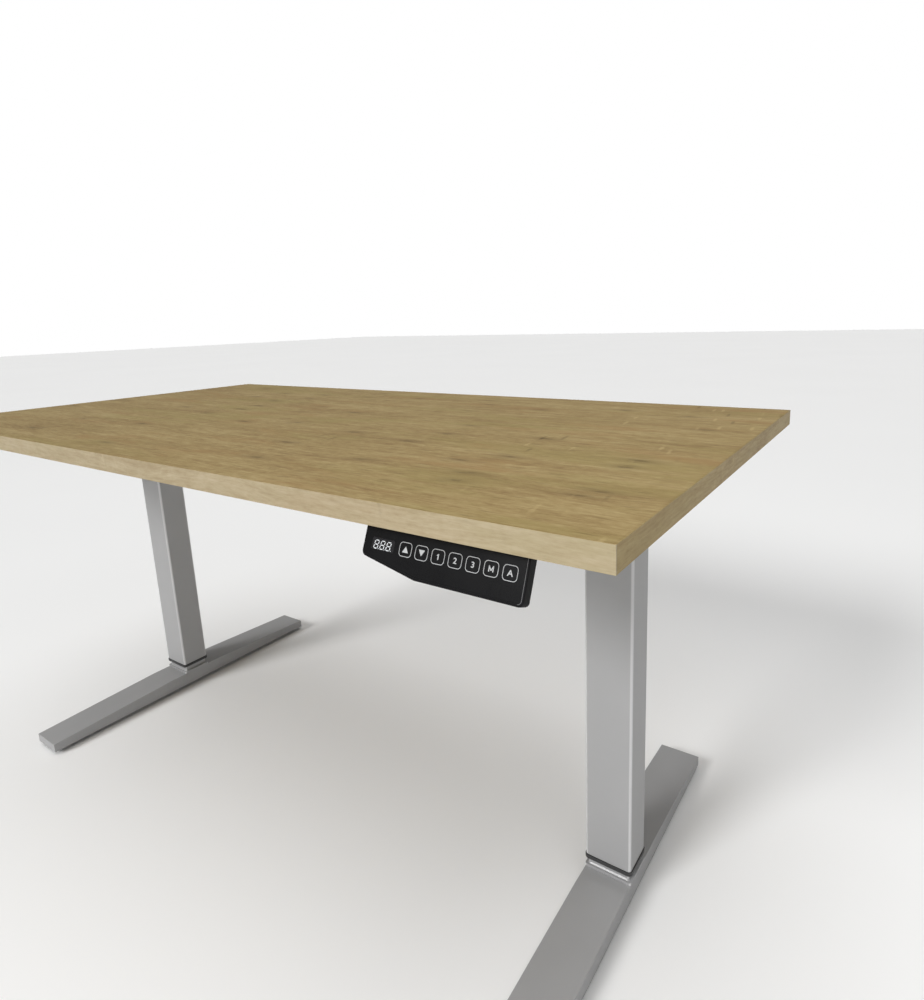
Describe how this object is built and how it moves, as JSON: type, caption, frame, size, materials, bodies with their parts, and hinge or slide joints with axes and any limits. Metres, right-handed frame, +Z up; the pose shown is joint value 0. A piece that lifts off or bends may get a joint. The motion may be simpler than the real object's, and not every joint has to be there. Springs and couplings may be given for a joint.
{
  "type": "height adjustable standing desk",
  "caption": "Electric sit-stand desk: rectangular wood top on two motorised telescopic columns with T-feet, under-top frame, control box and tilted keypad.",
  "frame": {"origin": "On the floor, under the middle of the desk, with the desk at its lowest height.", "axes": "+Z up, +X along the desk to the user's right, +Y away from the user, who sits at -Y."},
  "size_m": [1.524, 0.762, 0.73],
  "materials": {
    "oak_top": "matt oak-pattern laminate",
    "oak_edge": "matt oak-pattern edge band",
    "grey_paint": "fine-textured light grey powder coat",
    "black_plastic": "fine-grained moulded black",
    "panel_film": "satin overlay film",
    "glide_plastic": "smooth moulded dark grey",
    "steel": "turned and rolled",
    "bronze": "machined",
    "cast_aluminium": "die cast",
    "motor_paint": "black enamel",
    "pad_rubber": "moulded black",
    "lead_jacket": "flexible black jacket",
    "circuit_board": "green solder mask",
    "display_glass": "dark tinted window"
  },
  "bodies": {
    "right_lower": {"right_foot": "grey_paint", "right_inner_tube": "grey_paint", "right_inner_glide": "glide_plastic", "right_spindle_nut": "bronze"},
    "top": {"desktop_board": "oak_top", "edge_band_front": "oak_edge", "edge_band_rear": "oak_edge", "edge_band_left": "oak_edge", "edge_band_right": "oak_edge", "front_rail": "grey_paint", "rear_rail": "grey_paint", "right_arm": "grey_paint", "left_arm": "grey_paint", "right_outer_tube": "grey_paint", "right_collar": "glide_plastic", "right_spindle_bearing": "steel", "right_gearbox_case": "cast_aluminium", "right_gearbox_cover": "cast_aluminium", "right_motor": "motor_paint", "right_motor_cover": "black_plastic", "right_motor_lead": "lead_jacket", "left_outer_tube": "grey_paint", "left_collar": "glide_plastic", "left_spindle_bearing": "steel", "left_gearbox_case": "cast_aluminium", "left_gearbox_cover": "cast_aluminium", "left_motor": "motor_paint", "left_motor_cover": "black_plastic", "left_motor_lead": "lead_jacket", "control_box_tray": "black_plastic", "control_box_lid": "black_plastic", "control_board": "circuit_board", "mains_inlet": "black_plastic", "handset_body": "black_plastic", "handset_panel": "panel_film", "handset_display": "display_glass", "handset_board": "circuit_board", "handset_lead": "lead_jacket"},
    "left_lower": {"left_foot": "grey_paint", "left_inner_tube": "grey_paint", "left_inner_glide": "glide_plastic", "left_spindle_nut": "bronze"},
    "right_screw": {"right_spindle": "steel", "right_worm_wheel": "bronze"},
    "left_screw": {"left_spindle": "steel", "left_worm_wheel": "bronze"},
    "right_worm": {"right_worm_shaft": "steel"},
    "left_worm": {"left_worm_shaft": "steel"},
    "up_key": {"key_up": "panel_film"},
    "down_key": {"key_down": "panel_film"},
    "one_key": {"key_1": "panel_film"},
    "two_key": {"key_2": "panel_film"},
    "three_key": {"key_3": "panel_film"},
    "m_key": {"key_m": "panel_film"},
    "a_key": {"key_a": "panel_film"},
    "right_front_pad": {"right_front_leveler": "pad_rubber"},
    "right_rear_pad": {"right_rear_leveler": "pad_rubber"},
    "left_front_pad": {"left_front_leveler": "pad_rubber"},
    "left_rear_pad": {"left_rear_leveler": "pad_rubber"}
  },
  "joints": [
    {"name": "right_lift", "type": "slide", "parent": "right_lower", "child": "top", "axis": [0, 0, 1], "range_m": [0, 0.46]},
    {"name": "left_lift", "type": "slide", "parent": "top", "child": "left_lower", "axis": [0, 0, -1], "range_m": [0, 0.46]},
    {"name": "right_spindle_turn", "type": "hinge", "parent": "top", "child": "right_screw", "pos_m": [0.6, 0, 0.6605], "axis": [0, 0, 1], "continuous": true},
    {"name": "left_spindle_turn", "type": "hinge", "parent": "top", "child": "left_screw", "pos_m": [-0.6, 0, 0.6605], "axis": [0, 0, 1], "continuous": true},
    {"name": "right_worm_turn", "type": "hinge", "parent": "top", "child": "right_worm", "pos_m": [0.6, 0.024, 0.6605], "axis": [1, 0, 0], "continuous": true},
    {"name": "left_worm_turn", "type": "hinge", "parent": "top", "child": "left_worm", "pos_m": [-0.6, -0.024, 0.6605], "axis": [-1, 0, 0], "continuous": true},
    {"name": "key_up_press", "type": "slide", "parent": "top", "child": "up_key", "axis": [0, 0.9249, -0.3803], "range_m": [0, 0.0005], "stiffness_N_per_m": 1000},
    {"name": "key_down_press", "type": "slide", "parent": "top", "child": "down_key", "axis": [0, 0.9249, -0.3803], "range_m": [0, 0.0005], "stiffness_N_per_m": 1000},
    {"name": "key_1_press", "type": "slide", "parent": "top", "child": "one_key", "axis": [0, 0.9249, -0.3803], "range_m": [0, 0.0005], "stiffness_N_per_m": 1000},
    {"name": "key_2_press", "type": "slide", "parent": "top", "child": "two_key", "axis": [0, 0.9249, -0.3803], "range_m": [0, 0.0005], "stiffness_N_per_m": 1000},
    {"name": "key_3_press", "type": "slide", "parent": "top", "child": "three_key", "axis": [0, 0.9249, -0.3803], "range_m": [0, 0.0005], "stiffness_N_per_m": 1000},
    {"name": "key_m_press", "type": "slide", "parent": "top", "child": "m_key", "axis": [0, 0.9249, -0.3803], "range_m": [0, 0.0005], "stiffness_N_per_m": 1000},
    {"name": "key_a_press", "type": "slide", "parent": "top", "child": "a_key", "axis": [0, 0.9249, -0.3803], "range_m": [0, 0.0005], "stiffness_N_per_m": 1000},
    {"name": "right_front_pad_screw", "type": "slide", "parent": "right_lower", "child": "right_front_pad", "axis": [0, 0, -1], "range_m": [0, 0.008]},
    {"name": "right_rear_pad_screw", "type": "slide", "parent": "right_lower", "child": "right_rear_pad", "axis": [0, 0, -1], "range_m": [0, 0.008]},
    {"name": "left_front_pad_screw", "type": "slide", "parent": "left_lower", "child": "left_front_pad", "axis": [0, 0, -1], "range_m": [0, 0.008]},
    {"name": "left_rear_pad_screw", "type": "slide", "parent": "left_lower", "child": "left_rear_pad", "axis": [0, 0, -1], "range_m": [0, 0.008]}
  ],
  "couplings": [
    {"joint": "left_lift", "follows": "right_lift", "ratio": 1},
    {"joint": "right_spindle_turn", "follows": "right_lift", "rad_per_m": 392.7},
    {"joint": "left_spindle_turn", "follows": "right_lift", "rad_per_m": 392.7},
    {"joint": "right_worm_turn", "follows": "right_lift", "rad_per_m": 4712.4},
    {"joint": "left_worm_turn", "follows": "right_lift", "rad_per_m": 4712.4}
  ]
}
